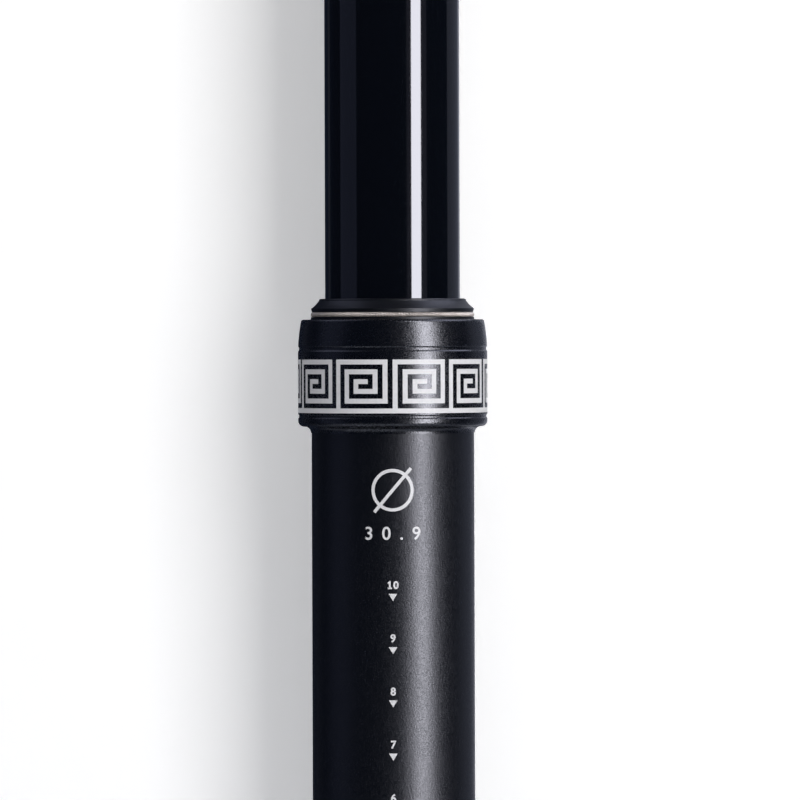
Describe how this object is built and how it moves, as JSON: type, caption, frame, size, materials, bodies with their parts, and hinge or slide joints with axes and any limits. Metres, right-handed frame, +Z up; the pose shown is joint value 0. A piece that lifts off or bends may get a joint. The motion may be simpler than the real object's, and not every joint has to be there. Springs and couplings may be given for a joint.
{
  "type": "dropper seatpost",
  "caption": "Telescoping bicycle seatpost with a gas cartridge, a sealed collar, a scaled lower tube, a two-bolt saddle clamp and a cable lever at its foot.",
  "frame": {"origin": "on the post's axis where the collar meets the lower tube's shoulder, which is the top of the part that slides into a frame", "axes": "+Z up the post towards the saddle; the scale marks face -Y; the saddle rails run along Y"},
  "size_m": [0.0568, 0.054, 0.4459],
  "materials": {
    "satin_black_tube": "bead-blasted and anodised satin black",
    "satin_black_collar": "bead-blasted and anodised satin black",
    "gloss_black_stanchion": "polished and hard-anodised gloss black",
    "forged_black": "forged and anodised black",
    "black_aluminium": "turned and anodised black",
    "seal_rubber": "smooth black nitrile",
    "bumper_rubber": "polyurethane bumper",
    "spring_wire": "bright wound wire",
    "bushing_polymer": "filled polymer bearing",
    "steel_pin": "zinc plated",
    "black_steel": "black oxide steel",
    "rod_steel": "ground and hard-chromed",
    "bare_aluminium": "turned",
    "key_brass": "turned brass",
    "nut_aluminium": "turned",
    "lever_aluminium": "machined"
  },
  "bodies": {
    "lower_post": {"lower_tube": "satin_black_tube", "collar": "satin_black_collar", "wiper_seal": "seal_rubber", "garter_spring": "spring_wire", "upper_bushing": "bushing_polymer", "bottom_bumper": "bumper_rubber", "actuator_housing": "black_aluminium", "lever_pin": "steel_pin", "cartridge_outer_tube": "bare_aluminium", "cartridge_inner_tube": "bare_aluminium", "cartridge_cap": "bare_aluminium", "rod_guide": "bare_aluminium", "guide_ring": "seal_rubber", "rod_seal": "seal_rubber", "valve_block": "bare_aluminium", "block_ring": "seal_rubber", "pin_ring": "seal_rubber"},
    "upper_post": {"stanchion": "gloss_black_stanchion", "head": "forged_black", "rod_screw": "black_steel", "lower_bushing": "bushing_polymer", "guide_key_1": "key_brass", "guide_key_2": "key_brass", "guide_key_3": "key_brass", "piston_rod": "rod_steel", "piston": "bare_aluminium", "piston_seal": "bushing_polymer", "piston_nut": "steel_pin", "top_out_bumper": "bumper_rubber", "clamp_bolt_front": "black_steel", "bolt_washer_front": "steel_pin", "clamp_bolt_rear": "black_steel", "bolt_washer_rear": "steel_pin"},
    "saddle_clamp": {"lower_clamp": "forged_black", "upper_clamp": "forged_black"},
    "front_nut": {"barrel_nut_front": "nut_aluminium"},
    "rear_nut": {"barrel_nut_rear": "nut_aluminium"},
    "lever": {"actuator_lever": "lever_aluminium"},
    "anchor": {"cable_anchor": "steel_pin", "anchor_screw": "black_steel"},
    "release": {"release_pin": "rod_steel"}
  },
  "joints": [
    {"name": "post_drop", "type": "slide", "parent": "lower_post", "child": "upper_post", "axis": [0, 0, 1], "range_m": [-0.15, 0], "stiffness_N_per_m": 667, "springref_m": 0.345},
    {"name": "saddle_tilt", "type": "hinge", "parent": "upper_post", "child": "saddle_clamp", "pos_m": [0, 0, 0.208], "axis": [1, 0, 0], "range_deg": [-10, 10]},
    {"name": "lever_pull", "type": "hinge", "parent": "lower_post", "child": "lever", "pos_m": [0, -0.003, -0.21685], "axis": [1, 0, 0], "range_deg": [-1, 23]},
    {"name": "anchor_turn", "type": "hinge", "parent": "lever", "child": "anchor", "pos_m": [0, -0.0092, -0.21685], "axis": [1, 0, 0], "range_deg": [-23, 1]},
    {"name": "pin_lift", "type": "slide", "parent": "lower_post", "child": "release", "axis": [0, 0, 1], "range_m": [0, 0.00127], "stiffness_N_per_m": 20, "springref_m": -0.001},
    {"name": "front_nut_turn", "type": "hinge", "parent": "saddle_clamp", "child": "front_nut", "pos_m": [0, -0.02, 0.208], "axis": [1, 0, 0], "range_deg": [-10.5, 10.5]},
    {"name": "rear_nut_turn", "type": "hinge", "parent": "saddle_clamp", "child": "rear_nut", "pos_m": [0, 0.02, 0.208], "axis": [1, 0, 0], "range_deg": [-10.5, 10.5]}
  ],
  "couplings": [
    {"joint": "lever_pull", "follows": "pin_lift", "rad_per_m": 303.03},
    {"joint": "anchor_turn", "follows": "pin_lift", "rad_per_m": -303.03},
    {"joint": "front_nut_turn", "follows": "saddle_tilt", "ratio": -1},
    {"joint": "rear_nut_turn", "follows": "saddle_tilt", "ratio": -1}
  ]
}
